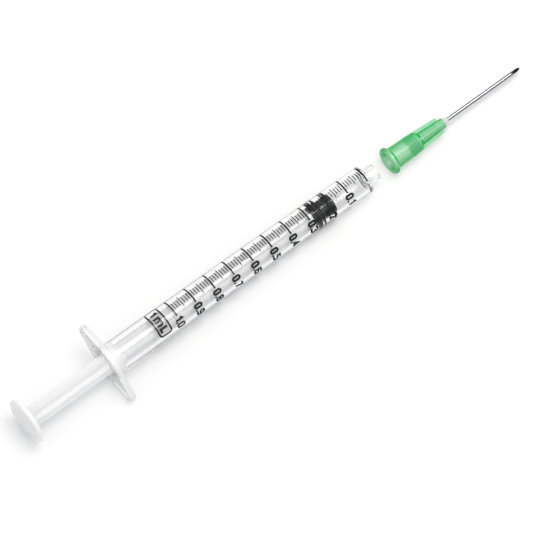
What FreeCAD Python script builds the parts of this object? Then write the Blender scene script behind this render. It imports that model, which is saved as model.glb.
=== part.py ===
import FreeCAD, Part
import math
import os
import re
import Sketcher

# A one-millilitre slip-tip syringe and its 21 gauge needle, lying on a table with the needle drawn
# straight off the nozzle. Each piece is drawn about its own X axis, which points along the barrel
# towards the needle's point. Y runs across the finger wings and Z out of the graduated side. The
# model's origin is the barrel's axis at the back face of the finger flange, and the floor lies
# under the flange's straight side and the hub's rim.

os.makedirs("parts", exist_ok=True)
doc = FreeCAD.newDocument("Syringe")

SIZES = [
    ("bore_radius", 2.45, "inside of the barrel"),
    ("barrel_back_radius", 3.8, "outside of the barrel where it meets the flange"),
    ("barrel_front_radius", 3.25, "outside of the barrel at its front shoulder"),
    ("barrel_length", 72.4, "flange back face to front shoulder"),
    ("shoulder_bevel", 0.33, "bevel of the front shoulder"),
    ("end_wall", 0.7, "thickness of the barrel's front end"),
    ("end_slope", 0.25, "depth of the shallow cone at the front of the bore"),
    ("mouth_chamfer", 0.3, "chamfer of the bore's open end"),
    ("bead_height", 0.07, "ring inside the mouth that keeps the stopper in"),
    ("bead_width", 0.7, "length of that ring"),
    ("bead_start", 1.8, "flange back face to that ring"),
    ("root_bevel", 0.42, "bevel between the barrel and the flange"),
    ("nozzle_length", 3.0, "front shoulder to nozzle tip"),
    ("nozzle_tip_radius", 1.89, "outside of the nozzle at its tip"),
    ("nozzle_bevel", 0.19, "bevel of the nozzle tip"),
    ("channel_radius", 1.0, "hole through the nozzle"),
    ("luer_slope", 0.03, "radius lost by the nozzle and the hub socket for each unit of length"),
    ("flange_length", 19.5, "finger flange, wing tip to wing tip"),
    ("flange_end_radius", 2.15, "rounding of a wing's tip"),
    ("flange_side_angle", 22, "slope of a wing's straight side, in degrees"),
    ("flange_side_radius", 4.1, "rounding of the flange beside the barrel"),
    ("flange_thickness", 1.5, "finger flange"),
    ("flange_edge_bevel", 0.3, "bevel of the flange's edges"),
    ("recess_rim", 0.75, "rim left around the hollow in each wing"),
    ("recess_depth", 0.65, "hollow in the back of each wing"),
    ("stopper_standoff", 8.9, "stopper's front face to the end of the bore, as photographed"),
    ("stopper_length", 6.0, "rubber stopper"),
    ("stopper_fit", 0.02, "gap between a sealing rib and the bore"),
    ("stopper_nose_radius", 2.2, "front face of the stopper"),
    ("stopper_nose", 0.5, "length of the plain front end"),
    ("nose_bevel", 0.17, "bevel of the stopper's front face"),
    ("front_rib", 0.95, "length of the front sealing rib"),
    ("stopper_waist", 1.95, "length of the waist between the sealing ribs"),
    ("waist_radius", 2.28, "waist and groove of the stopper, nearly as wide as the bore"),
    ("back_rib", 0.55, "length of the back sealing rib"),
    ("stopper_groove", 0.3, "length of the groove between the back rib and the collar"),
    ("rib_bevel", 0.16, "bevel of a sealing rib's edges"),
    ("collar_inset", 0.03, "how far the collar stays inside the bore"),
    ("collar_back", 0.6, "slope at the collar's back"),
    ("collar_front", 0.25, "slope at the collar's front"),
    ("rod_radius", 2.3, "tips of the rod's four ribs"),
    ("rib_thickness", 1.15, "one rib of the rod"),
    ("rib_roll_angle", 21, "turn of the ribs from the graduated side, in degrees, as photographed"),
    ("rod_length", 77.6, "thumb disc to the stopper's back face"),
    ("web_thickness", 0.9, "round web that pushes the stopper"),
    ("web_radius", 2.2, "round web"),
    ("neck_radius", 0.85, "neck that passes through the stopper's mouth"),
    ("neck_length", 1.5, "neck"),
    ("head_radius", 1.3, "snap head inside the stopper"),
    ("head_length", 1.8, "snap head"),
    ("head_nose", 0.3, "sloped end of the snap head"),
    ("head_tip_radius", 1.05, "end face of the snap head"),
    ("head_fit", 0.04, "gap around the neck and the snap head"),
    ("thumb_radius", 5.42, "thumb disc"),
    ("thumb_thickness", 1.25, "thumb disc"),
    ("thumb_edge_count", 5, "flats that turn the disc's edge round"),
    ("thumb_dish_radius", 3.6, "shallow round step in the thumb face"),
    ("thumb_dish_depth", 0.12, "depth of that step"),
    ("hub_gap", 3.5, "nozzle tip to the hub's rim, as photographed"),
    ("seat_gap", 0.3, "shoulder to rim when the needle is pushed home"),
    ("luer_fit", 0.012, "gap left in the taper when the needle is pushed home"),
    ("rim_radius", 3.25, "rim of the hub"),
    ("rim_thickness", 1.15, "rim of the hub"),
    ("rim_bevel", 0.3, "bevel of the rim's edges"),
    ("rim_root", 0.3, "hollow between the rim and the hub's wall"),
    ("hub_back_radius", 2.6, "hub's wall just in front of the rim"),
    ("hub_front_radius", 2.3, "hub's wall at its front end"),
    ("hub_wall_length", 8.3, "rim's back face to the end of the round wall"),
    ("socket_mouth_radius", 2.28, "lead-in at the mouth of the socket"),
    ("socket_lead", 0.35, "length of that lead-in"),
    ("socket_depth", 7.6, "tapered socket"),
    ("socket_throat", 0.8, "cone from the socket to the cannula"),
    ("core_back_radius", 1.5, "core of the hub behind"),
    ("core_front_radius", 1.15, "core of the hub at its tip"),
    ("hub_length", 15.55, "rim's back face to the tip of the core"),
    ("fin_count", 4, "fins round the core"),
    ("fin_start", 5.4, "rim's back face to where the fins rise out of the wall"),
    ("fin_setback", 0.9, "fins' front ends to the tip of the core"),
    ("fin_front_radius", 1.88, "fins at their front ends"),
    ("fin_proud", 0.06, "how far a fin stands out of the round wall"),
    ("fin_lead", 0.6, "slope at a fin's back end"),
    ("fin_nick", 0.12, "bevel at a fin's front end"),
    ("fin_thickness", 0.62, "one fin"),
    ("glue_well_radius", 0.78, "well in the hub's tip"),
    ("glue_well_depth", 2.0, "well in the hub's tip"),
    ("glue_length", 1.25, "cone of adhesive in front of the hub"),
    ("glue_tip_radius", 0.52, "front end of that cone"),
    ("cannula_radius", 0.41, "outside of the steel tube, 21 gauge"),
    ("cannula_bore_radius", 0.257, "inside of the steel tube"),
    ("cannula_start", 8.9, "rim's back face to the tube's hidden end"),
    ("cannula_reach", 37.7, "rim's back face to the needle's point"),
    ("cannula_fit", 0.006, "gap between the tube, the adhesive and the hub"),
    ("bevel_angle", 16, "first grind of the point, in degrees"),
    ("lancet_angle", 25, "second and third grinds, in degrees"),
    ("lancet_roll", 42, "turn of those grinds about the tube, in degrees"),
]

sheet = doc.addObject("Spreadsheet::Sheet", "Sizes")
for row, (name, number, meaning) in enumerate(SIZES, start=1):
    sheet.set("A%d" % row, meaning)
    sheet.set("B%d" % row, str(number))
    sheet.setAlias("B%d" % row, name)
doc.recompute()
ALIASES = {name for name, number, meaning in SIZES}

# Places that several pieces share, written once in the sheet's own words
BORE_END = "(barrel_length - end_wall)"
STOPPER_BACK = "(%s - stopper_standoff - stopper_length)" % BORE_END
RIM_BACK = "(barrel_length + nozzle_length + hub_gap)"
WING_CENTRE = "(flange_length / 2 - flange_end_radius)"
SIDE_REACH = "(%s * sin(flange_side_angle) + flange_end_radius)" % WING_CENTRE
SIDE_CENTRE = "((%s - flange_side_radius) / cos(flange_side_angle))" % SIDE_REACH
SOCKET_RADIUS = "(nozzle_tip_radius + luer_slope * (nozzle_length - seat_gap) + luer_fit)"


def cells(text):
    return re.sub(r"[a-z_]+", lambda word: "Sizes." * (word[0] in ALIASES) + word[0], text)


def value(text):
    result = sheet.evalExpression(cells(text))
    return float(getattr(result, "Value", result))


def bind(thing, prop, text):
    thing.setExpression(prop, cells(text))


def new_body(label):
    body = doc.addObject("PartDesign::Body", label)
    body.Label = label
    return body


def new_sketch(body, name, plane):
    sketch = body.newObject("Sketcher::SketchObject", name)
    origin_plane = next(f for f in body.Origin.OriginFeatures if f.Role == plane)
    sketch.AttachmentSupport = [(origin_plane, "")]
    sketch.MapMode = "FlatFace"
    return sketch


def pin_point(sketch, geometry, end, across=None, up=None):
    # A point of the sketch is held by the sheet, or lies on an axis of the sketch
    for kind, text, axis in (("DistanceX", across, -2), ("DistanceY", up, -1)):
        if text is None:
            continue
        if abs(value(text)) < 1e-9:
            sketch.addConstraint(Sketcher.Constraint("PointOnObject", geometry, end, axis))
        else:
            index = sketch.addConstraint(
                Sketcher.Constraint(kind, -1, 1, geometry, end, value(text))
            )
            bind(sketch, "Constraints[%d]" % index, text)


def draw_outline(sketch, corners):
    # A corner is (across, up), or (across, up, centre across, centre up, turn) where an arc leads
    # on to the next corner, with turn 1 for anticlockwise and -1 for clockwise
    places = [FreeCAD.Vector(value(c[0]), value(c[1]), 0) for c in corners]
    starts, ends = [], []
    for index, corner in enumerate(corners):
        here, after = places[index], places[(index + 1) % len(places)]
        if len(corner) == 2:
            geometry = sketch.addGeometry(Part.LineSegment(here, after), False)
            starts.append((geometry, 1))
            ends.append((geometry, 2))
            continue
        centre = FreeCAD.Vector(value(corner[2]), value(corner[3]), 0)
        angles = [math.atan2(p.y - centre.y, p.x - centre.x) for p in (here, after)]
        circle = Part.Circle(centre, FreeCAD.Vector(0, 0, 1), (here - centre).Length)
        first, last = angles if corner[4] > 0 else angles[::-1]
        geometry = sketch.addGeometry(Part.ArcOfCircle(circle, first, last), False)
        starts.append((geometry, 1 if corner[4] > 0 else 2))
        ends.append((geometry, 2 if corner[4] > 0 else 1))
        # Both ends are held, so one more number holds the centre: the one across the chord
        chord = after - here
        if abs(chord.y) >= abs(chord.x):
            pin_point(sketch, geometry, 3, across=corner[2])
        else:
            pin_point(sketch, geometry, 3, up=corner[3])
    for index, corner in enumerate(corners):
        before = ends[index - 1]
        sketch.addConstraint(Sketcher.Constraint("Coincident", *before, *starts[index]))
        pin_point(sketch, *starts[index], corner[0], corner[1])


def turned(body, name, corners, feature="Revolution"):
    # A round form: its half profile in the XZ plane, swept once round the X axis
    sketch = new_sketch(body, name + "_profile", "XZ_Plane")
    draw_outline(sketch, corners)
    turn = body.newObject("PartDesign::" + feature, name)
    turn.Profile = sketch
    turn.ReferenceAxis = (sketch, ["H_Axis"])
    turn.Angle = 360
    sketch.Visibility = False
    doc.recompute()
    return turn


def extruded(body, name, sketch, length, feature="Pad", reverse=False, both_ways=False):
    push = body.newObject("PartDesign::" + feature, name)
    push.Profile = sketch
    bind(push, "Length", length)
    push.Reversed = reverse
    push.Midplane = both_ways
    sketch.Visibility = False
    doc.recompute()
    return push


def bevelled(body, name, edges, size):
    base = body.Tip
    bevel = body.newObject("PartDesign::Chamfer", name)
    bevel.Base = (base, edges)
    bind(bevel, "Size", size)
    doc.recompute()
    return bevel


def edges_where(shape, test):
    return ["Edge%d" % (i + 1) for i, edge in enumerate(shape.Edges) if test(edge)]


# Barrel: tube, finger flange and nozzle in one moulding


def wing_outline():
    # The flange is four arcs joined by four straight sides, all tangent
    corners = []
    for side, top in ((1, 1), (-1, 1), (-1, -1), (1, -1)):
        tip = (
            "%d * (%s + flange_end_radius * sin(flange_side_angle))" % (side, WING_CENTRE),
            "%d * flange_end_radius * cos(flange_side_angle)" % top,
        )
        flank = (
            "%d * flange_side_radius * sin(flange_side_angle)" % side,
            "%d * (%s + flange_side_radius * cos(flange_side_angle))" % (top, SIDE_CENTRE),
        )
        if side == top:
            corners.append(tip)
            corners.append(flank + ("0", "%d * %s" % (top, SIDE_CENTRE), 1))
        else:
            corners.append(flank)
            corners.append(tip + ("%d * %s" % (side, WING_CENTRE), "0", 1))
    return corners


def recess_outline(side):
    # Each hollow keeps an even rim inside the wing and stops short of the barrel's wall
    start = "(barrel_back_radius + root_bevel)"
    reach = "(%s - recess_rim)" % SIDE_REACH
    inner = "(%s - %s * sin(flange_side_angle)) / cos(flange_side_angle)" % (reach, start)
    tip_across = "(%s + (flange_end_radius - recess_rim) * sin(flange_side_angle))" % WING_CENTRE
    tip_up = "(flange_end_radius - recess_rim) * cos(flange_side_angle)"
    return [
        ("%d * %s" % (side, start), "%d * %s" % (side, inner)),
        ("%d * %s" % (side, start), "%d * %s" % (-side, inner)),
        (
            "%d * %s" % (side, tip_across),
            "%d * %s" % (-side, tip_up),
            "%d * %s" % (side, WING_CENTRE),
            "0",
            1,
        ),
        ("%d * %s" % (side, tip_across), "%d * %s" % (side, tip_up)),
    ]


def barrel_radius_at(place):
    return "(barrel_back_radius - (barrel_back_radius - barrel_front_radius) * %s / barrel_length)" % (
        place
    )


barrel = new_body("barrel")
turned(
    barrel,
    "barrel_outside",
    [
        ("0", "0"),
        ("0", "barrel_back_radius"),
        ("flange_thickness", "barrel_back_radius"),
        ("flange_thickness", "barrel_back_radius + root_bevel"),
        ("flange_thickness + root_bevel", barrel_radius_at("(flange_thickness + root_bevel)")),
        ("barrel_length - shoulder_bevel", barrel_radius_at("(barrel_length - shoulder_bevel)")),
        ("barrel_length", "barrel_front_radius - shoulder_bevel"),
        ("barrel_length", "nozzle_tip_radius + luer_slope * nozzle_length"),
        (
            "barrel_length + nozzle_length - nozzle_bevel",
            "nozzle_tip_radius + luer_slope * nozzle_bevel",
        ),
        ("barrel_length + nozzle_length", "nozzle_tip_radius - nozzle_bevel"),
        ("barrel_length + nozzle_length", "0"),
    ],
)

flange_sketch = new_sketch(barrel, "flange_outline", "YZ_Plane")
draw_outline(flange_sketch, wing_outline())
flange = extruded(barrel, "finger_flange", flange_sketch, "flange_thickness")

thickness = value("flange_thickness")


def on_flange_edge(edge):
    box = edge.BoundBox
    flat = box.XLength < 1e-6 and (abs(box.XMin) < 1e-6 or abs(box.XMin - thickness) < 1e-6)
    outside = max(math.hypot(v.Point.y, v.Point.z) for v in edge.Vertexes)
    return flat and outside > value("barrel_back_radius") + 1e-3


bevelled(barrel, "flange_edges", edges_where(flange.Shape, on_flange_edge), "flange_edge_bevel")

recess_sketch = new_sketch(barrel, "recess_outline", "YZ_Plane")
draw_outline(recess_sketch, recess_outline(1))
other_recess_sketch = new_sketch(barrel, "other_recess_outline", "YZ_Plane")
draw_outline(other_recess_sketch, recess_outline(-1))
for name, sketch in (("recess", recess_sketch), ("other_recess", other_recess_sketch)):
    extruded(barrel, name, sketch, "recess_depth", "Pocket", reverse=True)

bead_middle = "(bead_start + bead_width / 2)"
turned(
    barrel,
    "bore",
    [
        ("0", "0"),
        ("0", "bore_radius + mouth_chamfer"),
        ("mouth_chamfer", "bore_radius"),
        ("bead_start", "bore_radius"),
        (bead_middle, "bore_radius - bead_height"),
        ("bead_start + bead_width", "bore_radius"),
        (BORE_END + " - end_slope", "bore_radius"),
        (BORE_END, "channel_radius"),
        ("barrel_length + nozzle_length", "channel_radius"),
        ("barrel_length + nozzle_length", "0"),
    ],
    "Groove",
)

# Plunger rod: thumb disc, four ribs, a round web, and a neck and head that snap into the stopper

plunger_rod = new_body("plunger_rod")
disc_back = "(-rod_length - thumb_thickness)"


def disc_edge(step):
    # A corner of the disc's edge, which turns half round from its back face to its front face
    turn = "(180 * %d / thumb_edge_count)" % step
    return (
        "-rod_length - thumb_thickness / 2 * (1 + cos(%s))" % turn,
        "thumb_radius - thumb_thickness / 2 * (1 - sin(%s))" % turn,
    )


turned(
    plunger_rod,
    "thumb_disc",
    [
        (disc_back + " + thumb_dish_depth", "0"),
        (disc_back + " + thumb_dish_depth", "thumb_dish_radius - thumb_dish_depth"),
        (disc_back, "thumb_dish_radius"),
    ]
    + [disc_edge(step) for step in range(int(value("thumb_edge_count")) + 1)]
    + [("-rod_length", "0")],
)


def cross_outline():
    # Four ribs whose tips follow the bore
    half = "rib_thickness / 2"
    tip = "sqrt(rod_radius ^ 2 - (rib_thickness / 2) ^ 2)"
    corners = []
    for across, up in ((1, 0), (0, 1), (-1, 0), (0, -1)):
        # The two edges of a rib's tip, then the inner corner before the next rib
        for edge in (-1, 1):
            point = (
                "%d * %s + %d * %s" % (across, tip, -up * edge, half),
                "%d * %s + %d * %s" % (up, tip, across * edge, half),
            )
            corners.append(point + ("0", "0", 1) if edge < 0 else point)
        corners.append(("%d * %s" % (across - up, half), "%d * %s" % (across + up, half)))
    return corners


rib_sketch = new_sketch(plunger_rod, "rib_section", "YZ_Plane")
rib_sketch.AttachmentOffset = FreeCAD.Placement(
    FreeCAD.Vector(), FreeCAD.Rotation(FreeCAD.Vector(0, 0, 1), value("rib_roll_angle"))
)
draw_outline(rib_sketch, cross_outline())
extruded(plunger_rod, "ribs", rib_sketch, "rod_length", reverse=True)

turned(
    plunger_rod,
    "web_and_head",
    [
        ("-web_thickness", "0"),
        ("-web_thickness", "web_radius"),
        ("0", "web_radius"),
        ("0", "neck_radius"),
        ("neck_length", "neck_radius"),
        ("neck_length", "head_radius"),
        ("neck_length + head_length - head_nose", "head_radius"),
        ("neck_length + head_length", "head_tip_radius"),
        ("neck_length + head_length", "0"),
    ],
)

# Stopper: two sealing ribs with a waist between, a soft collar behind, and a pocket for the head

stopper = new_body("stopper")
rib_radius = "(bore_radius - stopper_fit)"
collar_radius = "(bore_radius - collar_inset)"
nose_start = "(stopper_length - stopper_nose)"
front_rib_start = "(%s - front_rib)" % nose_start
waist_start = "(%s - stopper_waist)" % front_rib_start
back_rib_start = "(%s - back_rib)" % waist_start
groove_start = "(%s - stopper_groove)" % back_rib_start
turned(
    stopper,
    "stopper_form",
    [
        ("0", "neck_radius + head_fit"),
        ("0", "waist_radius"),
        ("collar_back", collar_radius),
        (groove_start + " - collar_front", collar_radius),
        (groove_start, "waist_radius"),
        (back_rib_start, "waist_radius"),
        (back_rib_start + " + rib_bevel", rib_radius),
        (waist_start + " - rib_bevel", rib_radius),
        (waist_start, "waist_radius"),
        (front_rib_start, "waist_radius"),
        (front_rib_start + " + rib_bevel", rib_radius),
        (nose_start + " - rib_bevel", rib_radius),
        (nose_start, "stopper_nose_radius"),
        ("stopper_length - nose_bevel", "stopper_nose_radius"),
        ("stopper_length", "stopper_nose_radius - nose_bevel"),
        ("stopper_length", "0"),
        ("neck_length + head_length + head_fit", "0"),
        ("neck_length + head_length + head_fit", "head_tip_radius + head_fit"),
        ("neck_length + head_length - head_nose", "head_radius + head_fit"),
        ("neck_length - head_fit", "head_radius + head_fit"),
        ("neck_length - head_fit", "neck_radius + head_fit"),
    ],
)

# Needle hub: rim, round wall with the luer socket, core with fins, and a well for the adhesive

needle_hub = new_body("needle_hub")


def hub_radius_at(place):
    return "(hub_back_radius - (hub_back_radius - hub_front_radius) * %s / hub_wall_length)" % place


turned(
    needle_hub,
    "hub_outside",
    [
        ("0", "0"),
        ("0", "rim_radius - rim_bevel"),
        ("rim_bevel", "rim_radius"),
        ("rim_thickness - rim_bevel", "rim_radius"),
        ("rim_thickness", "rim_radius - rim_bevel"),
        ("rim_thickness", hub_radius_at("rim_thickness") + " + rim_root"),
        ("rim_thickness + rim_root", hub_radius_at("(rim_thickness + rim_root)")),
        ("hub_wall_length", "hub_front_radius"),
        ("hub_wall_length + hub_front_radius - core_back_radius", "core_back_radius"),
        ("hub_length", "core_front_radius"),
        ("hub_length", "0"),
    ],
)

fin_stop = "(hub_length - fin_setback)"
fin_sketch = new_sketch(needle_hub, "fin_side", "XZ_Plane")
draw_outline(
    fin_sketch,
    [
        ("fin_start", "glue_well_radius"),
        (fin_stop, "glue_well_radius"),
        (fin_stop, "fin_front_radius - fin_nick"),
        (fin_stop + " - fin_nick", "fin_front_radius"),
        ("fin_start + fin_lead", hub_radius_at("(fin_start + fin_lead)") + " + fin_proud"),
        ("fin_start", hub_radius_at("fin_start") + " - fin_proud"),
    ],
)
fin = extruded(needle_hub, "fin", fin_sketch, "fin_thickness", both_ways=True)
fins = needle_hub.newObject("PartDesign::PolarPattern", "fins")
fins.Originals = [fin]
axis = next(f for f in needle_hub.Origin.OriginFeatures if f.Role == "X_Axis")
fins.Axis = (axis, [""])
fins.Angle = 360
bind(fins, "Occurrences", "fin_count")
needle_hub.Tip = fins
doc.recompute()

well_start = "(hub_length - glue_well_depth)"
turned(
    needle_hub,
    "socket_and_well",
    [
        ("0", "0"),
        ("0", "socket_mouth_radius"),
        ("socket_lead", SOCKET_RADIUS + " - luer_slope * socket_lead"),
        ("socket_depth", SOCKET_RADIUS + " - luer_slope * socket_depth"),
        ("socket_depth + socket_throat", "cannula_radius + cannula_fit"),
        (well_start, "cannula_radius + cannula_fit"),
        (well_start, "glue_well_radius"),
        ("hub_length", "glue_well_radius"),
        ("hub_length", "0"),
    ],
    "Groove",
)

# Adhesive: fills the well and stands out of it as a small cone

adhesive = new_body("adhesive")
turned(
    adhesive,
    "adhesive_form",
    [
        (well_start + " + cannula_fit", "cannula_radius + cannula_fit"),
        ("hub_length + glue_length", "cannula_radius + cannula_fit"),
        ("hub_length + glue_length", "glue_tip_radius"),
        ("hub_length + cannula_fit", "core_front_radius - cannula_fit"),
        ("hub_length + cannula_fit", "glue_well_radius - cannula_fit"),
        (well_start + " + cannula_fit", "glue_well_radius - cannula_fit"),
    ],
)

# Cannula: drawn steel tube with a lancet point of three grinds, open side up

cannula = new_body("cannula")
turned(
    cannula,
    "tube",
    [
        ("cannula_start", "cannula_bore_radius"),
        ("cannula_start", "cannula_radius"),
        ("cannula_reach", "cannula_radius"),
        ("cannula_reach", "cannula_bore_radius"),
    ],
)


def grind(name, angle, roll, low):
    # All that lies above a plane through the point is ground away
    top = "2 * cannula_radius"
    sketch = new_sketch(cannula, name + "_side", "XZ_Plane")
    sketch.AttachmentOffset = FreeCAD.Placement(
        FreeCAD.Vector(), FreeCAD.Rotation(FreeCAD.Vector(1, 0, 0), roll)
    )
    draw_outline(
        sketch,
        [
            ("cannula_reach", low),
            ("cannula_reach + cannula_radius", low),
            ("cannula_reach + cannula_radius", top),
            ("cannula_reach - (%s - (%s)) / tan(%s)" % (top, low, angle), top),
        ],
    )
    before = cannula.Tip.Shape.Volume
    cut = extruded(cannula, name, sketch, "4 * cannula_radius", "Pocket", both_ways=True)
    if not 0 < cut.Shape.Volume < before:
        raise RuntimeError(name + " removed nothing")


grind("bevel", "bevel_angle", 0, "-cannula_radius")
lancet_low = "-cannula_radius * cos(lancet_roll)"
grind("lancet_left", "lancet_angle", value("lancet_roll"), lancet_low)
grind("lancet_right", "lancet_angle", -value("lancet_roll"), lancet_low)

# As it lies: the flange's straight side and the hub's rim touch the floor, which rolls the syringe
# by the slope of that side and tips its front down a little

flange_edge = value("flange_thickness - flange_edge_bevel")
rim_edge = value(RIM_BACK + " + rim_thickness - rim_bevel")
drop = value(SIDE_REACH) - value("rim_radius")
tip_down = math.degrees(math.atan2(drop, rim_edge - flange_edge))
resting = FreeCAD.Rotation(FreeCAD.Vector(0, 1, 0), tip_down).multiply(
    FreeCAD.Rotation(FreeCAD.Vector(1, 0, 0), value("flange_side_angle"))
)

PLACES = [
    (barrel, "0"),
    (plunger_rod, STOPPER_BACK),
    (stopper, STOPPER_BACK),
    (needle_hub, RIM_BACK),
    (adhesive, RIM_BACK),
    (cannula, RIM_BACK),
]
for body, along in PLACES:
    body.Placement = FreeCAD.Placement(
        resting.multVec(FreeCAD.Vector(value(along), 0, 0)), resting
    )
doc.recompute()

for thing in doc.Objects:
    if {"Invalid", "Error"} & set(thing.State):
        raise RuntimeError("%s did not build: %s" % (thing.Label, thing.State))
for body, along in PLACES:
    if body.Shape.isNull() or not body.Shape.isValid() or len(body.Shape.Solids) != 1:
        raise RuntimeError(body.Label + " is not one valid solid")
for body, along in PLACES:
    body.Shape.exportStep("parts/%s.step" % body.Label)
    print("%-12s %8.2f mm3" % (body.Label, body.Shape.Volume))
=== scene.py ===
import math

import bmesh
import bpy
from mathutils import Matrix, Vector


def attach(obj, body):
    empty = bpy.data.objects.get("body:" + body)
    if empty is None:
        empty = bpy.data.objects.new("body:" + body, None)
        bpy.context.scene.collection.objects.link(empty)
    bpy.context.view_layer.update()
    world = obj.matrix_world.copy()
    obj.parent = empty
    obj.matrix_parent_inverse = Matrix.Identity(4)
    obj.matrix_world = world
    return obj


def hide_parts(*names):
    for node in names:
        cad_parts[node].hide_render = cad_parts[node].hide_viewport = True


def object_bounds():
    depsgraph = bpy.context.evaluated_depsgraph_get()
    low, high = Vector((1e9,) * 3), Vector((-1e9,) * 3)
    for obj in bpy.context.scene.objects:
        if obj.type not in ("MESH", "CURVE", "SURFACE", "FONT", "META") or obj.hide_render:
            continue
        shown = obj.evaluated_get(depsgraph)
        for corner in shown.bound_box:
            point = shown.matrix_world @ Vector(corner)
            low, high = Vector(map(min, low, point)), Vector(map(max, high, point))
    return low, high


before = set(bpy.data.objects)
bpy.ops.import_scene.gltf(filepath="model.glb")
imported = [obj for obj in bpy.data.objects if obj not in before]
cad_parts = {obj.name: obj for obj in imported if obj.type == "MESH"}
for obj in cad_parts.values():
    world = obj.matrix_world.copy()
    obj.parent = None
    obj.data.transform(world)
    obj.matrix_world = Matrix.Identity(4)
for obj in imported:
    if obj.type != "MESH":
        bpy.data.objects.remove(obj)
cadLow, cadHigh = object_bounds()
mm = 0.001

# The syringe lies rolled onto the straight side of its flange, with its front tipped down a little;
# both are degrees, as the CAD model lies
lie = {"roll": 22.0, "tipDown": 1.2741}
resting = Matrix.Rotation(math.radians(lie["tipDown"]), 4, "Y") @ Matrix.Rotation(
    math.radians(lie["roll"]), 4, "X"
)


def linear(hexColour):
    # The shaders take linear colour
    channels = [int(hexColour[i : i + 2], 16) / 255 for i in (1, 3, 5)]
    return (
        *[c / 12.92 if c <= 0.04045 else ((c + 0.055) / 1.055) ** 2.4 for c in channels],
        1.0,
    )


def addNode(owner, kind, settings=None, links=None):
    # Adds one node; a setting is one of its own choices or the value of an input
    node = owner.node_tree.nodes.new("ShaderNode" + kind)
    for name, value in (settings or {}).items():
        if isinstance(name, str) and hasattr(node, name):
            setattr(node, name, value)
        else:
            node.inputs[name].default_value = value
    for name, socket in (links or {}).items():
        owner.node_tree.links.new(socket, node.inputs[name])
    return node


def newMaterial(name, settings):
    # Makes a material with one main shader, and the place on the object that its patterns hang on
    material = bpy.data.materials.new(name)
    material.use_nodes = True
    material.node_tree.nodes.clear()
    shader = addNode(material, "BsdfPrincipled", settings)
    addNode(material, "OutputMaterial", links={"Surface": shader.outputs["BSDF"]})
    place = addNode(material, "TexCoord").outputs["Object"]
    return material, shader, place


def perMetre(sizeInMm):
    # The texture scale that gives a pattern this real size
    return 1 / (sizeInMm * mm)


def facing(material):
    # How far the surface turns away from the eye: 0 seen straight on, 1 seen edge on
    return addNode(material, "LayerWeight", {"Blend": 0.5}).outputs["Facing"]


def ranged(material, value, ends, results=(0, 1)):
    # Takes a value from between two ends to between two results
    first, last = ends
    low, high = results
    settings = {"From Min": first, "From Max": last, "To Min": low, "To Max": high}
    return addNode(material, "MapRange", settings, {"Value": value}).outputs["Result"]


def alongAxis(material, place, ends, results=(0, 1)):
    # Changes from one result to the other between two places along the axis, in mm
    along = addNode(material, "SeparateXYZ", {}, {"Vector": place}).outputs["X"]
    return ranged(material, along, [end * mm for end in ends], results)


def mixed(owner, factor, *colours):
    # Mixes two colours, each of them a hex colour or what another node gives
    settings, links = {}, {"Fac": factor}
    for name, colour in zip(("Color1", "Color2"), colours):
        if isinstance(colour, str):
            settings[name] = linear(colour)
        else:
            links[name] = colour
    return addNode(owner, "MixRGB", settings, links).outputs["Color"]


def clouds(material, place, sizeInMm, detail=2.0):
    # A cloudy pattern of this real size
    settings = {"Scale": perMetre(sizeInMm), "Detail": detail}
    return addNode(material, "TexNoise", settings, {"Vector": place}).outputs["Fac"]


def raised(material, pattern, strength, depthInMm):
    # Makes a pattern stand out of the surface a little
    settings = {"Strength": strength, "Distance": depthInMm * mm}
    return addNode(material, "Bump", settings, {"Height": pattern}).outputs["Normal"]


def feed(material, shader, sources):
    # Links inputs of the shader to what they follow
    for name, source in sources.items():
        material.node_tree.links.new(source, shader.inputs[name])


def letLightIn(material, straight, slanting):
    # Lamp light, and light thrown back by what lies inside, go through the plastic, and less of it
    # where it meets the wall at a slant
    output = next(n for n in material.node_tree.nodes if n.type == "OUTPUT_MATERIAL")
    surface = output.inputs["Surface"].links[0].from_socket
    path = addNode(material, "LightPath")
    tint = mixed(material, facing(material), straight, slanting)
    window = addNode(material, "BsdfTransparent", {}, {"Color": tint}).outputs["BSDF"]
    for ray in ("Is Shadow Ray", "Is Diffuse Ray"):
        mix = addNode(material, "MixShader", {}, {"Fac": path.outputs[ray], 1: surface, 2: window})
        surface = mix.outputs["Shader"]
    material.node_tree.links.new(surface, output.inputs["Surface"])


# Camera: a long lens from far off, above the barrel's near side; flangeAt is the pixel of the
# photograph's frame where the middle of the flange is seen
view = {
    "azimuth": -38.62,
    "elevation": 65.8,
    "distance": 1.6,
    "clipEnd": 20,
    "pixels": 533,
    "pixelsPerMm": 4.62,
    "flangeAt": (107.5, 363.0),
    "flangeMiddle": 0.75,
}


def makeCamera():
    azimuth, elevation = math.radians(view["azimuth"]), math.radians(view["elevation"])
    level = math.cos(elevation)
    back = Vector((math.sin(azimuth) * level, -math.cos(azimuth) * level, math.sin(elevation)))
    right = Vector((math.cos(azimuth), math.sin(azimuth), 0))
    offRight = (view["pixels"] / 2 - view["flangeAt"][0]) / view["pixelsPerMm"]
    offUp = (view["flangeAt"][1] - view["pixels"] / 2) / view["pixelsPerMm"]
    middle = resting @ Vector((view["flangeMiddle"] * mm, 0, 0))
    aim = middle + (right * offRight + back.cross(right) * offUp) * mm
    lens = bpy.data.cameras.new("camera")
    camera = bpy.data.objects.new("camera", lens)
    bpy.context.scene.collection.objects.link(camera)
    camera.location = aim + back * view["distance"]
    camera.rotation_mode = "QUATERNION"
    camera.rotation_quaternion = back.to_track_quat("Z", "Y")
    frameWidth = view["pixels"] / view["pixelsPerMm"] * mm
    lens.lens = lens.sensor_width * view["distance"] / frameWidth
    lens.clip_end = view["clipEnd"]
    bpy.context.scene.camera = camera
    print("camera: %d mm lens" % lens.lens)
    return aim


aim = makeCamera()

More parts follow.
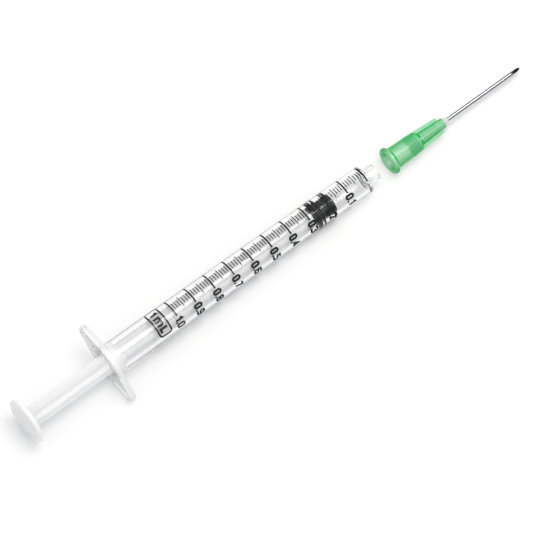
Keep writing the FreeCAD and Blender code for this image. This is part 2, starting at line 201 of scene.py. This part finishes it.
# Studio: a white table in a pale room whose walls are darker near the horizon, with a big soft
# lamp overhead
studio = {
    "tableSize": 1.6,
    "tableColour": "#f9f9fa",
    "cloudColour": "#fcfcfc",
    "cloudSize": 9.0,
    "tableRoughness": 0.9,
    "tableGloss": 0.1,
    "ceilingColour": "#f2f2f2",
    "wallColour": "#808183",
    "wallTop": 0.75,
    "roomStrength": 0.8,
    "lampSize": 0.55,
    "lampPlace": (0.16, -0.05, 0.87),
    "lampPower": 4.4,
    "lampColour": "#fffefc",
}


def makeStudio():
    tableTop = bmesh.new()
    half = studio["tableSize"] / 2
    tableTop.faces.new(
        tableTop.verts.new((aim.x + x * half, aim.y + y * half, cadLow.z))
        for x, y in ((-1, -1), (1, -1), (1, 1), (-1, 1))
    )
    mesh = bpy.data.meshes.new("table_top")
    tableTop.to_mesh(mesh)
    table = bpy.data.objects.new("table_top", mesh)
    bpy.context.scene.collection.objects.link(table)
    # Matt laminate: sealed, so it has next to no gloss and only a faint cloudiness
    laminate, shader, place = newMaterial(
        "matt_laminate",
        {"Roughness": studio["tableRoughness"], "Specular IOR Level": studio["tableGloss"]},
    )
    cloud = clouds(laminate, place, studio["cloudSize"])
    tint = mixed(laminate, cloud, studio["tableColour"], studio["cloudColour"])
    feed(laminate, shader, {"Base Color": tint})
    mesh.materials.append(laminate)

    room = bpy.data.worlds.new("pale_room")
    room.use_nodes = True
    background = room.node_tree.nodes["Background"]
    background.inputs["Strength"].default_value = studio["roomStrength"]
    direction = addNode(room, "TexCoord").outputs["Generated"]
    height = addNode(room, "SeparateXYZ", {}, {"Vector": direction}).outputs["Z"]
    climb = addNode(
        room,
        "MapRange",
        {"From Max": studio["wallTop"], "interpolation_type": "SMOOTHSTEP"},
        {"Value": height},
    )
    wash = mixed(room, climb.outputs["Result"], studio["wallColour"], studio["ceilingColour"])
    feed(room, background, {"Color": wash})
    bpy.context.scene.world = room

    bulb = bpy.data.lights.new("soft_lamp", "AREA")
    bulb.shape = "DISK"
    bulb.size = studio["lampSize"]
    bulb.energy = studio["lampPower"]
    bulb.color = linear(studio["lampColour"])[:3]
    lamp = bpy.data.objects.new("soft_lamp", bulb)
    bpy.context.scene.collection.objects.link(lamp)
    lamp.location = aim + Vector(studio["lampPlace"])
    lamp.rotation_mode = "QUATERNION"
    lamp.rotation_quaternion = (lamp.location - aim).to_track_quat("Z", "Y")
    bpy.context.scene.view_settings.view_transform = "Standard"
    print("studio: table, room and one lamp")


makeStudio()


# How fine the meshes are: steps round the axis, the angle in degrees up to which an edge shades
# smoothly, the share of a side that one rounded corner may take, and in mm the distances under
# which points are on one line or become one
meshing = {"segments": 96, "smoothAngle": 32, "share": 0.49, "same": 1e-6, "weld": 1e-4}


def softCorners(corners, steps=4):
    # Turns each (along, out, radius) corner of a closed outline into a small arc
    outline = []
    for index, (along, out, radius) in enumerate(corners):
        here = Vector((along, out))
        before = Vector(corners[index - 1][:2])
        after = Vector(corners[(index + 1) % len(corners)][:2])
        if radius <= 0:
            outline.append(here)
            continue
        back, on = (before - here).normalized(), (after - here).normalized()
        half = back.angle(on) / 2
        spare = min((before - here).length, (after - here).length) * meshing["share"]
        reach = min(radius / math.tan(half), spare)
        bend = reach * math.tan(half)
        centre = here + (back + on).normalized() * (bend / math.sin(half))
        first = here + back * reach - centre
        sweep = (here + on * reach - centre).angle_signed(first)
        for step in range(steps + 1):
            outline.append(centre + Matrix.Rotation(sweep * step / steps, 2) @ first)
    return outline


def turned(outline):
    # Sweeps a closed half outline once round the syringe's axis
    segments = meshing["segments"]
    form = bmesh.new()
    rings = []
    for point in outline:
        if abs(point[1]) < meshing["same"]:
            rings.append([form.verts.new((point[0], 0, 0))] * segments)
            continue
        ring = []
        for step in range(segments):
            turn = 2 * math.pi * step / segments
            spot = (point[0], point[1] * math.cos(turn), point[1] * math.sin(turn))
            ring.append(form.verts.new(spot))
        rings.append(ring)
    for index, ring in enumerate(rings):
        after = rings[(index + 1) % len(rings)]
        for step in range(segments):
            follow = (step + 1) % segments
            corners = [ring[step], after[step], after[follow], ring[follow]]
            corners = [c for i, c in enumerate(corners) if c not in corners[:i]]
            if len(corners) > 2:
                form.faces.new(corners)
    bmesh.ops.recalc_face_normals(form, faces=form.faces)
    return form


def pushed(outline, start, length, soft=0.0, rings=4):
    # Pushes a closed outline of (y, z) points along the axis, with soft edges if it is asked for
    form = bmesh.new()
    base = form.faces.new(form.verts.new((start, y, z)) for y, z in outline)
    push = bmesh.ops.extrude_face_region(form, geom=[base])
    moved = [v for v in push["geom"] if isinstance(v, bmesh.types.BMVert)]
    bmesh.ops.translate(form, verts=moved, vec=(length, 0, 0))
    bmesh.ops.recalc_face_normals(form, faces=form.faces)
    if soft > 0:
        rims = [e for e in form.edges if abs(e.verts[0].co.x - e.verts[1].co.x) < meshing["same"]]
        bmesh.ops.bevel(form, geom=rims, offset=soft, segments=rings, profile=0.5, affect="EDGES")
    return form


def asPiece(name, form, material, body, node=None):
    # Lays the form down where the syringe rests and hands it to its body, in place of a CAD node
    # where one is named
    mesh = bpy.data.meshes.new(name)
    form.to_mesh(mesh)
    form.free()
    mesh.transform(resting @ Matrix.Scale(mm, 4))
    mesh.shade_smooth()
    mesh.set_sharp_from_angle(angle=math.radians(meshing["smoothAngle"]))
    mesh.materials.append(material)
    piece = bpy.data.objects.new(name, mesh)
    bpy.context.scene.collection.objects.link(piece)
    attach(piece, body)
    if node:
        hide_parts(node)
    return piece


def joined(base, tools):
    # Adds and cuts closed forms with exact booleans, and returns one form
    scratch = []
    for form in [base] + [tool for tool, _ in tools]:
        mesh = bpy.data.meshes.new("scratch")
        form.to_mesh(mesh)
        form.free()
        thing = bpy.data.objects.new("scratch", mesh)
        bpy.context.scene.collection.objects.link(thing)
        scratch.append(thing)
    for thing, (_, how) in zip(scratch[1:], tools):
        change = scratch[0].modifiers.new("change", "BOOLEAN")
        change.operation = how
        change.object = thing
        change.solver = "EXACT"
    result = bmesh.new()
    result.from_object(scratch[0], bpy.context.evaluated_depsgraph_get())
    for thing in scratch:
        bpy.data.objects.remove(thing)
    bmesh.ops.remove_doubles(result, verts=result.verts, dist=meshing["weld"])
    return result


# Barrel, in mm from the flange's back face, with the sizes of the CAD model; an overlap or spare is
# how far one form runs into or past another, and a corner is the radius that rounds it, like the
# root, where the tube meets the flange, whose lift is how far it stands off along and out
barrelSize = {
    "bore": 2.45,
    "backRadius": 3.8,
    "frontRadius": 3.25,
    "length": 72.4,
    "endWall": 0.7,
    "endSlope": 0.25,
    "nozzleLength": 3.0,
    "nozzleRadius": 1.89,
    "luerSlope": 0.03,
    "channel": 1.0,
    "beadStart": 1.8,
    "beadWidth": 0.7,
    "beadHeight": 0.07,
    "overlap": 0.2,
    "boreSpare": 0.5,
    "mouthChamfer": 0.3,
    "mouthCorner": 0.2,
    "beadCorner": 0.3,
    "endCorner": 0.15,
    "channelCorner": 0.1,
    "shoulderCorner": 0.45,
    "nozzleCorner": 0.15,
    "tipCorner": 0.22,
    "flangeThickness": 1.5,
    "flangeHalf": 7.6,
    "flangeEnd": 2.15,
    "flangeSide": 4.1,
    "flangeSlope": 22.0,
    "flangeEdge": 0.36,
    "root": 0.5,
    "rootLift": (0.06, 0.02),
    "recessRim": 0.75,
    "recessDepth": 0.65,
    "recessSpare": 1.0,
}


def barrelRadius(along):
    slim = barrelSize["backRadius"] - barrelSize["frontRadius"]
    return barrelSize["backRadius"] - slim * along / barrelSize["length"]


def wingOutline(inset=0.0, steps=20):
    # Two round wing tips and two round flanks, joined by tangent straights
    size = barrelSize
    slope = size["flangeSlope"]
    reach = size["flangeHalf"] * math.sin(math.radians(slope)) + size["flangeEnd"]
    flank = (reach - size["flangeSide"]) / math.cos(math.radians(slope))
    outline = []
    for middle, radius, first, last in (
        ((size["flangeHalf"], 0), size["flangeEnd"], slope - 90, 90 - slope),
        ((0, flank), size["flangeSide"], 90 - slope, 90 + slope),
        ((-size["flangeHalf"], 0), size["flangeEnd"], 90 + slope, 270 - slope),
        ((0, -flank), size["flangeSide"], 270 - slope, 270 + slope),
    ):
        for step in range(steps + 1):
            turn = math.radians(first + (last - first) * step / steps)
            outline.append(
                (
                    middle[0] + (radius - inset) * math.cos(turn),
                    middle[1] + (radius - inset) * math.sin(turn),
                )
            )
    return outline


def recessOutline(side):
    # The hollow in the back of one wing, round at the tip and straight near the tube
    size = barrelSize
    start = size["backRadius"] + size["root"]
    inside = [(y, z) for y, z in wingOutline(size["recessRim"]) if y * side > start]
    slope = math.tan(math.radians(size["flangeSlope"]))
    nearest = min(inside, key=lambda point: point[0] * side)
    up = abs(nearest[1]) + (abs(nearest[0]) - start) * slope
    inside.sort(key=lambda point: math.atan2(point[1], (point[0] - side * size["flangeHalf"]) * side))
    if side < 0:
        inside.reverse()
    return inside + [(start * side, up * side), (start * side, -up * side)]


# Pairs are the glassy and the milky value, or where a change starts and ends
barrelFinish = {
    "clear": "#fefefe",
    # The grey is painted shade, put where the wall is seen edge on
    "paintedEdgeGrey": "#787a7e",
    "IOR": 1.45,
    "Transmission Weight": (0.995, 0.14),
    "Roughness": (0.06, 0.26),
    "flangeEnd": (1.2, 4.5),
    "flangeCloud": 0.7,
    "nozzleStart": (71.8, 73.0),
    "nozzleCloud": 0.45,
    # How edge on the wall must be seen for the painted shade to start and to be full
    "paintedEdgeFacing": (0.6, 0.97),
    "rippleSize": 6.0,
    "rippleDepth": 0.05,
    "rippleStrength": 0.04,
    "lightThrough": ("#ffffff", "#d2d3d5"),
}


def finishBarrel():
    # Clear polypropylene, injection moulded in a polished tool: glassy in the thin tube, cloudy in
    # the thick finger flange and a little in the nozzle, with a slow ripple in its reflections
    finish = barrelFinish
    clear, shader, place = newMaterial("clear_polypropylene", {"IOR": finish["IOR"]})
    behind = alongAxis(clear, place, finish["flangeEnd"], (finish["flangeCloud"], 0))
    before = alongAxis(clear, place, finish["nozzleStart"], (0, finish["nozzleCloud"]))
    cloud = addNode(clear, "Math", {"operation": "ADD"}, {0: behind, 1: before}).outputs["Value"]
    for name in ("Transmission Weight", "Roughness"):
        feed(clear, shader, {name: ranged(clear, cloud, (0, 1), finish[name])})
    # Painted shade: the colour turns grey where the wall is seen edge on, along both sides of the
    # tube, in place of the dark room that the wall bends into view there, but less so in the flange
    paintedEdgeMask = ranged(clear, facing(clear), finish["paintedEdgeFacing"])
    inFront = addNode(clear, "Math", {"operation": "SUBTRACT", 0: 1.0}, {1: behind}).outputs["Value"]
    paintedEdgeGrey = addNode(clear, "Math", {"operation": "MULTIPLY"}, {0: paintedEdgeMask, 1: inFront}).outputs["Value"]
    tint = mixed(clear, paintedEdgeGrey, finish["clear"], finish["paintedEdgeGrey"])
    flow = clouds(clear, place, finish["rippleSize"])
    ripple = raised(clear, flow, finish["rippleStrength"], finish["rippleDepth"])
    feed(clear, shader, {"Base Color": tint, "Normal": ripple})
    letLightIn(clear, *finish["lightThrough"])
    return clear


def makeBarrel():
    size = barrelSize
    front = size["length"]
    tip = front + size["nozzleLength"]
    back = size["flangeThickness"]
    root = barrelRadius(0) + size["root"]
    liftAlong, liftOut = size["rootLift"]
    nozzleBack = size["nozzleRadius"] + size["luerSlope"] * size["nozzleLength"]
    outside = softCorners(
        [
            (size["overlap"], 0, 0),
            (size["overlap"], root, 0),
            (back, root, 0),
            (back + liftAlong, barrelRadius(back + size["root"]) + liftOut, size["root"]),
            (front, size["frontRadius"], size["shoulderCorner"]),
            (front, nozzleBack, size["nozzleCorner"]),
            (tip, size["nozzleRadius"], size["tipCorner"]),
            (tip, 0, 0),
        ],
        steps=6,
    )
    bore = size["bore"]
    wide = bore + size["mouthChamfer"]
    beadStart, beadEnd = size["beadStart"], size["beadStart"] + size["beadWidth"]
    inside = softCorners(
        [
            (-size["boreSpare"], 0, 0),
            (-size["boreSpare"], wide, 0),
            (0, wide, 0),
            (size["mouthChamfer"], bore, size["mouthCorner"]),
            (beadStart, bore, size["beadCorner"]),
            (beadStart + size["beadWidth"] / 2, bore - size["beadHeight"], size["beadCorner"]),
            (beadEnd, bore, size["beadCorner"]),
            (front - size["endWall"] - size["endSlope"], bore, size["endCorner"]),
            (front - size["endWall"], size["channel"], size["channelCorner"]),
            (tip + size["boreSpare"], size["channel"], 0),
            (tip + size["boreSpare"], 0, 0),
        ]
    )
    flange = pushed(wingOutline(), 0, size["flangeThickness"], size["flangeEdge"])
    tools = [(flange, "UNION"), (turned(inside), "DIFFERENCE")]
    for side in (1, -1):
        start, length = -size["recessSpare"], size["recessSpare"] + size["recessDepth"]
        tools.append((pushed(recessOutline(side), start, length), "DIFFERENCE"))
    whole = joined(turned(outside), tools)
    asPiece("barrel_moulding", whole, finishBarrel(), "barrel", "barrel")
    print("barrel: tube, flange and nozzle")


makeBarrel()

# Printed scale: lengths in mm, and where things start and end round the barrel in degrees
scaleSize = {
    "zero": 71.6,
    "length": 53.0,
    "tenths": 10,
    "steps": 80,
    "longLine": (-78.0, 4.0),
    "zeroLine": (-64.0, 12.0),
    "middleLine": (-54.0, -8.0),
    "shortLine": (-45.0, -17.5),
    "longWidth": 0.38,
    "shortWidth": 0.2,
    "numberStart": 9.0,
    "numberHeight": 2.2,
    "digitWidth": 0.78,
    "digitGap": 0.0,
    "pen": 0.5,
    "boxAlong": (13.05, 16.1),
    "boxAround": (-76.0, 38.0),
    "boxLine": 0.42,
    "boxCorner": 0.75,
    "wordsHeight": 2.15,
    "wordsWidth": 1.0,
    "wordsGap": 0.3,
    "wordsPen": 0.56,
    "wordsShift": 0.3,
    "inkThickness": 0.012,
    "bandStep": 0.25,
    "wordSpace": 0.35,
    "sharpest": 0.5,
}

# Each character is one or more pen strokes in a unit box, and a third number rounds that corner;
# penAdvance is the width of those that aren't one box wide
penStrokes = {
    "0": [[(0, 0, 0.5), (1, 0, 0.5), (1, 1, 0.5), (0, 1, 0.5), "closed"]],
    "1": [[(0, 0.74, 0), (0.55, 1, 0), (0.55, 0, 0)]],
    "2": [[(0, 0.72, 0), (0, 1, 0.5), (1, 1, 0.5), (1, 0.55, 0.4), (0, 0, 0.1), (1.1, 0, 0)]],
    "3": [
        [(0, 0.78, 0), (0, 1, 0.5), (1, 1, 0.5), (1, 0.54, 0.4), (0.35, 0.54, 0)],
        [(0.35, 0.54, 0), (1, 0.54, 0.4), (1, 0, 0.5), (0, 0, 0.5), (0, 0.24, 0)],
    ],
    "4": [[(0.75, 0, 0), (0.75, 1, 0), (-0.05, 0.28, 0), (1.2, 0.28, 0)]],
    "5": [
        [(1, 1, 0), (0.06, 1, 0), (0.03, 0.56, 0)],
        [(0.03, 0.6, 0), (1, 0.62, 0.5), (1, 0, 0.5), (0, 0, 0.5), (0, 0.22, 0)],
    ],
    "6": [
        [(0, 0, 0.5), (1, 0, 0.5), (1, 0.58, 0.5), (0, 0.58, 0.5), "closed"],
        [(0, 0.3, 0), (0, 1, 0.5), (1, 1, 0.5), (1, 0.8, 0)],
    ],
    "7": [[(0, 1, 0), (1.05, 1, 0), (0.4, 0, 0)]],
    "8": [
        [(0, 0, 0.5), (1, 0, 0.5), (1, 0.52, 0.45), (0, 0.52, 0.45), "closed"],
        [(0.04, 0.52, 0.4), (0.96, 0.52, 0.4), (0.96, 1, 0.4), (0.04, 1, 0.4), "closed"],
    ],
    "9": [
        [(0, 0.42, 0.5), (1, 0.42, 0.5), (1, 1, 0.5), (0, 1, 0.5), "closed"],
        [(1, 0.7, 0), (1, 0, 0.5), (0, 0, 0.5), (0, 0.2, 0)],
    ],
    ".": [[(0, -0.1, 0), (0, 0.12, 0)]],
    "m": [
        [(0, -0.12, 0), (0, 0.9, 0)],
        [(0, 0.5, 0), (0, 0.78, 0.4), (0.85, 0.78, 0.4), (0.85, -0.12, 0)],
        [(0.85, 0.5, 0), (0.85, 0.78, 0.4), (1.7, 0.78, 0.4), (1.7, -0.12, 0)],
    ],
    "L": [[(0, 1.1, 0), (0, 0, 0), (0.9, 0, 0)]],
}
penAdvance = {".": 0.0, "1": 0.55, "m": 1.7}


def wrapped(form, along, around):
    # Bends a flat print, whose x runs round the barrel and y along it, onto the barrel's wall
    for vert in form.verts:
        place = along + vert.co.y
        radius = barrelRadius(place) + scaleSize["inkThickness"] / 2
        turn = math.radians(around) + vert.co.x / barrelRadius(place)
        vert.co = (place, -radius * math.sin(turn), radius * math.cos(turn))
    return form


def inkBand(form, points, width, closed=False):
    # A band of ink along flat points, in steps short enough to bend round the barrel; the sharpest
    # turn is limited so that its corner stays short
    path = []
    for first, second in zip(points, points[1:] + points[: int(closed)]):
        pieces = max(1, round((second - first).length / scaleSize["bandStep"]))
        path += [first.lerp(second, i / pieces) for i in range(pieces)]
    path += [] if closed else points[-1:]
    ribs = []
    for index, point in enumerate(path):
        back = point - path[index - 1]
        run = path[(index + 1) % len(path)] - point
        if not closed and index == 0:
            back = run
        if not closed and index == len(path) - 1:
            run = back
        both = (run.normalized() + back.normalized()).normalized()
        lean = max(scaleSize["sharpest"], both.dot(run.normalized()))
        out = Vector((-both.y, both.x)) * width / 2 / lean
        ribs.append([form.verts.new((*(point + out * side), 0)) for side in (1, -1)])
    for first, second in zip(ribs, ribs[1:] + ribs[: int(closed)]):
        form.faces.new((first[0], first[1], second[1], second[0]))


def penned(words, digitWidth, height, gap, pen):
    # Draws words as flat pen strokes from (0, 0), and says how wide they are
    form = bmesh.new()
    start = pen / 2
    for letter in words:
        if letter == " ":
            start += digitWidth * scaleSize["wordSpace"]
            continue
        for stroke in penStrokes[letter]:
            closed = stroke[-1] == "closed"
            corners = [
                (start + x * digitWidth, pen / 2 + y * (height - pen), r * digitWidth)
                for x, y, r in (stroke[:-1] if closed else stroke)
            ]
            inkBand(form, softCorners(corners, steps=5), pen, closed)
        start += penAdvance.get(letter, 1.0) * digitWidth + gap + pen
    return form, start - gap - pen / 2


def gathered(forms):
    # Puts several forms together in one
    whole = bmesh.new()
    for form in forms:
        part = bpy.data.meshes.new("part")
        form.to_mesh(part)
        form.free()
        whole.from_mesh(part)
        bpy.data.meshes.remove(part)
    return whole


inkFinish = {
    "dense": "#08090a",
    "thin": "#1b1d1f",
    "mottleSize": 0.35,
    "shader": {"Roughness": 0.6, "IOR": 1.5, "Specular IOR Level": 0.25},
}


def finishInk():
    # Screen printing ink: opaque black, cured matt, with the faint mottle that the mesh leaves
    finish = inkFinish
    ink, shader, place = newMaterial("screen_ink", finish["shader"])
    mottle = clouds(ink, place, finish["mottleSize"], 4.0)
    feed(ink, shader, {"Base Color": mixed(ink, mottle, finish["dense"], finish["thin"])})
    return ink


def makeScale():
    size = scaleSize
    ink = finishInk()

    def inkPiece(name, forms):
        piece = asPiece(name, gathered(forms), ink, "barrel")
        thick = piece.modifiers.new("ink thickness", "SOLIDIFY")
        thick.thickness = size["inkThickness"] * mm
        thick.offset = 0

    lines = []
    tenth = size["steps"] // size["tenths"]
    for step in range(size["steps"] + 1):
        along = size["zero"] - size["length"] * step / size["steps"]
        kind = "zeroLine" if step == 0 else "longLine"
        if step % tenth:
            kind = "middleLine" if step % tenth == tenth // 2 else "shortLine"
        first, last = size[kind]
        width = size["shortWidth" if step % tenth else "longWidth"]
        run = math.radians(last - first) * barrelRadius(along)
        line = bmesh.new()
        inkBand(line, [Vector((0, 0)), Vector((run, 0))], width)
        lines.append(wrapped(line, along, first))
    inkPiece("scale_lines", lines)

    numbers = []
    for count in range(1, size["tenths"] + 1):
        along = size["zero"] - size["length"] * count / size["tenths"] - size["numberHeight"] / 2
        form, _ = penned(
            "%.1f" % (count / size["tenths"]),
            size["digitWidth"],
            size["numberHeight"],
            size["digitGap"],
            size["pen"],
        )
        numbers.append(wrapped(form, along, size["numberStart"]))
    inkPiece("scale_numbers", numbers)

    low, high = size["boxAlong"]
    first, last = size["boxAround"]
    width = math.radians(last - first) * barrelRadius(low)
    corner = size["boxCorner"]
    outline = softCorners(
        [(0, 0, corner), (width, 0, corner), (width, high - low, corner), (0, high - low, corner)],
        steps=6,
    )
    box = bmesh.new()
    inkBand(box, outline, size["boxLine"], True)
    words, wide = penned(
        "1 mL", size["wordsWidth"], size["wordsHeight"], size["wordsGap"], size["wordsPen"]
    )
    middle = ((width - wide) / 2 + size["wordsShift"], (high - low - size["wordsHeight"]) / 2, 0)
    bmesh.ops.translate(words, verts=words.verts, vec=middle)
    inkPiece("volume_mark", [wrapped(box, low, first), wrapped(words, low, first)])
    print("scale: %d lines, %d numbers and the volume mark" % (size["steps"] + 1, size["tenths"]))


makeScale()

# Stopper, in mm from its back face: where each part of it starts and ends, the radii, and the corners
# that round them; headEnd is a point, along and out
stopperSize = {
    "start": 56.8,
    "rubbing": 2.458,
    "low": 2.2,
    "edge": 2.28,
    "backRib": (0.3, 1.52),
    "groove": (1.6, 1.76),
    "middleRib": (1.84, 2.45),
    "waist": (2.55, 4.5),
    "frontRib": (4.64, 5.4),
    "nose": (5.55, 6.0),
    "neckRadius": 0.89,
    "headRadius": 1.34,
    "headSpace": (1.46, 3.0),
    "headEnd": (3.34, 1.09),
    "corners": {
        "edge": 0.1,
        "backRib": (0.3, 0.05),
        "groove": (0.04, 0.04),
        "middleRib": (0.05, 0.1),
        "waist": (0.1, 0.1),
        "frontRib": (0.15, 0.15),
        "nose": (0.1, 0.2),
    },
}
rubberFinish = {
    "rubber": "#08090b",
    "bloom": "#15181b",
    "bloomSize": 0.9,
    "shader": {"Roughness": 0.5, "IOR": 1.52, "Specular IOR Level": 0.1},
}


def finishRubber():
    # Siliconised butyl rubber, moulded: black and nearly matt, with a faint bloom, because the
    # silicone film fills its pores
    finish = rubberFinish
    rubber, shader, place = newMaterial("black_rubber", finish["shader"])
    bloom = clouds(rubber, place, finish["bloomSize"], 3.0)
    feed(rubber, shader, {"Base Color": mixed(rubber, bloom, finish["rubber"], finish["bloom"])})
    return rubber


def makeStopper():
    size = stopperSize
    profile = [(0, size["neckRadius"], 0), (0, size["edge"], size["corners"]["edge"])]
    for part in ("backRib", "groove", "middleRib", "waist", "frontRib", "nose"):
        out = size["rubbing"] if part.endswith("Rib") else size["low"]
        for along, corner in zip(size[part], size["corners"][part]):
            profile.append((along, out, corner))
    # From the middle of the nose back round the space for the rod's head
    profile += [
        (size["nose"][1], 0, 0),
        (size["headEnd"][0], 0, 0),
        (*size["headEnd"], 0),
        (size["headSpace"][1], size["headRadius"], 0),
        (size["headSpace"][0], size["headRadius"], 0),
        (size["headSpace"][0], size["neckRadius"], 0),
    ]
    form = turned([(along + size["start"], out) for along, out in softCorners(profile, steps=5)])
    asPiece("stopper_moulding", form, finishRubber(), "stopper", "stopper")
    print("stopper: two ribs and a collar")


makeStopper()

# The rod, hub, glue and needle keep their own shapes, and get these finishes
rodFinish = {
    "milky": "#f8f8f9",
    "paler": "#fdfdfe",
    "cloudSize": 6.0,
    "grainSize": 0.7,
    "grainDepth": 0.02,
    "grainStrength": 0.1,
    "roughness": 0.32,
    "glow": 0.6,
    "glowDepth": 1.2,
    "lightThrough": ("#eaebec", "#d2d3d4"),
}


def finishRod():
    # Milky polypropylene, injection moulded: a satin skin on a cloudy body, and light glows
    # through the thin ribs
    finish = rodFinish
    milky, shader, place = newMaterial(
        "milky_polypropylene",
        {
            "Roughness": finish["roughness"],
            "IOR": 1.49,
            "Subsurface Weight": finish["glow"],
            "Subsurface Radius": (1, 1, 1),
            "Subsurface Scale": finish["glowDepth"] * mm,
        },
    )
    cloud = clouds(milky, place, finish["cloudSize"])
    tint = mixed(milky, cloud, finish["milky"], finish["paler"])
    # Spark grain of the tool, drawn coarser than the real 0.05 mm so that it shows
    grain = clouds(milky, place, finish["grainSize"])
    skin = raised(milky, grain, finish["grainStrength"], finish["grainDepth"])
    feed(milky, shader, {"Base Color": tint, "Normal": skin})
    letLightIn(milky, *finish["lightThrough"])
    return milky


hubFinish = {
    "thinWall": "#b6e4c2",
    "thickWall": "#78cc96",
    "finWall": "#a6e4b9",
    # The edge colour is painted shade, a deeper green where the surface is seen edge on
    "edge": "#00c858",
    "socketEnd": (83.6, 84.3),
    "finStart": (86.4, 87.4),
    "paintedEdgeGreenFacing": (0.1, 0.55),
    "streakSize": 1.6,
    "streakDepth": 0.06,
    "streakStrength": 0.4,
    "shader": {"Roughness": 0.16, "IOR": 1.4, "Specular IOR Level": 0.3, "Transmission Weight": 0.45},
    "lightThrough": ("#e6eee9", "#cedad2"),
}


def finishHub():
    # Dyed polypropylene, injection moulded: half clear, pale where the wall is thin round the socket
    # and deeper in the solid core; along every edge seen edge on, its colour is painted a deeper
    # green as painted shade, in place of the longer way that light takes through the plastic there
    finish = hubFinish
    green, shader, place = newMaterial("green_polypropylene", finish["shader"])
    solid = alongAxis(green, place, finish["socketEnd"])
    body = mixed(green, solid, finish["thinWall"], finish["thickWall"])
    finned = alongAxis(green, place, finish["finStart"])
    core = mixed(green, finned, body, finish["finWall"])
    # Painted shade: deeper green where the surface is seen edge on
    paintedEdgeMask = ranged(green, facing(green), finish["paintedEdgeGreenFacing"])
    tint = mixed(green, paintedEdgeMask, core, finish["edge"])
    streak = clouds(green, place, finish["streakSize"])
    flow = raised(green, streak, finish["streakStrength"], finish["streakDepth"])
    feed(green, shader, {"Base Color": tint, "Normal": flow})
    letLightIn(green, *finish["lightThrough"])
    return green


glueFinish = {
    "cloudy": "#e3e9e6",
    "clear": "#f7faf8",
    "bubbleSize": 0.35,
    "shader": {"Roughness": 0.22, "IOR": 1.5, "Transmission Weight": 0.25},
}


def finishGlue():
    # Epoxy bead, cured where it was dropped: smooth, cloudy and faintly bubbled
    finish = glueFinish
    epoxy, shader, place = newMaterial("cloudy_epoxy", finish["shader"])
    bubbles = clouds(epoxy, place, finish["bubbleSize"])
    feed(epoxy, shader, {"Base Color": mixed(epoxy, bubbles, finish["cloudy"], finish["clear"])})
    return epoxy


needleFinish = {
    "steel": "#cdcfd1",
    # The side colour is a painted reflection of a dark room along both sides of the tube
    "side": "#55575b",
    # The bore colour is painted shade inside the bore
    "bore": "#141517",
    "boreShadeRadius": (0.27, 0.33),
    "paintedSideShadeFacing": (0.03, 0.3),
    "lineWidth": 0.25,
    "lineLength": 5.0,
    "roughness": (0.2, 0.32),
}


def finishNeedle():
    # Stainless steel tube, drawn and polished, with fine draw lines: bright on top, and painted
    # darker along both sides as a painted reflection of a dark room; the bore is painted dark as
    # painted shade
    finish = needleFinish
    steel, shader, place = newMaterial("stainless_steel", {"Metallic": 1.0})
    # The bore is found by its distance from the axis, so the tipped tube is first turned level
    level = addNode(
        steel,
        "VectorRotate",
        {"rotation_type": "Y_AXIS", "Angle": -math.radians(lie["tipDown"])},
        {"Vector": place},
    )
    across = addNode(
        steel, "VectorMath", {"operation": "MULTIPLY", 1: (0, 1, 1)}, {0: level.outputs["Vector"]}
    )
    out = addNode(steel, "VectorMath", {"operation": "LENGTH"}, {0: across.outputs["Vector"]})
    # Painted shade: the bore is coloured dark
    wall = ranged(steel, out.outputs["Value"], [radius * mm for radius in finish["boreShadeRadius"]])
    # Painted reflection: darker along both sides, where the tube is seen edge on
    side = ranged(steel, facing(steel), finish["paintedSideShadeFacing"])
    skin = mixed(steel, side, finish["steel"], finish["side"])
    tint = mixed(steel, wall, finish["bore"], skin)
    # Draw lines run along the tube, drawn coarser than the real 0.01 mm so that they show
    width, length = perMetre(finish["lineWidth"]), perMetre(finish["lineLength"])
    stretched = addNode(
        steel,
        "VectorMath",
        {"operation": "MULTIPLY", 1: (length, width, width)},
        {0: level.outputs["Vector"]},
    )
    lines = addNode(steel, "TexNoise", {"Scale": 1.0}, {"Vector": stretched.outputs["Vector"]})
    polish = ranged(steel, lines.outputs["Fac"], (0, 1), finish["roughness"])
    feed(steel, shader, {"Base Color": tint, "Roughness": polish})
    return steel


for node, material in (
    ("plunger_rod", finishRod()),
    ("needle_hub", finishHub()),
    ("adhesive", finishGlue()),
    ("cannula", finishNeedle()),
):
    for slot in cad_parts[node].material_slots:
        slot.material = material
print("rod, hub, glue and needle: finished")
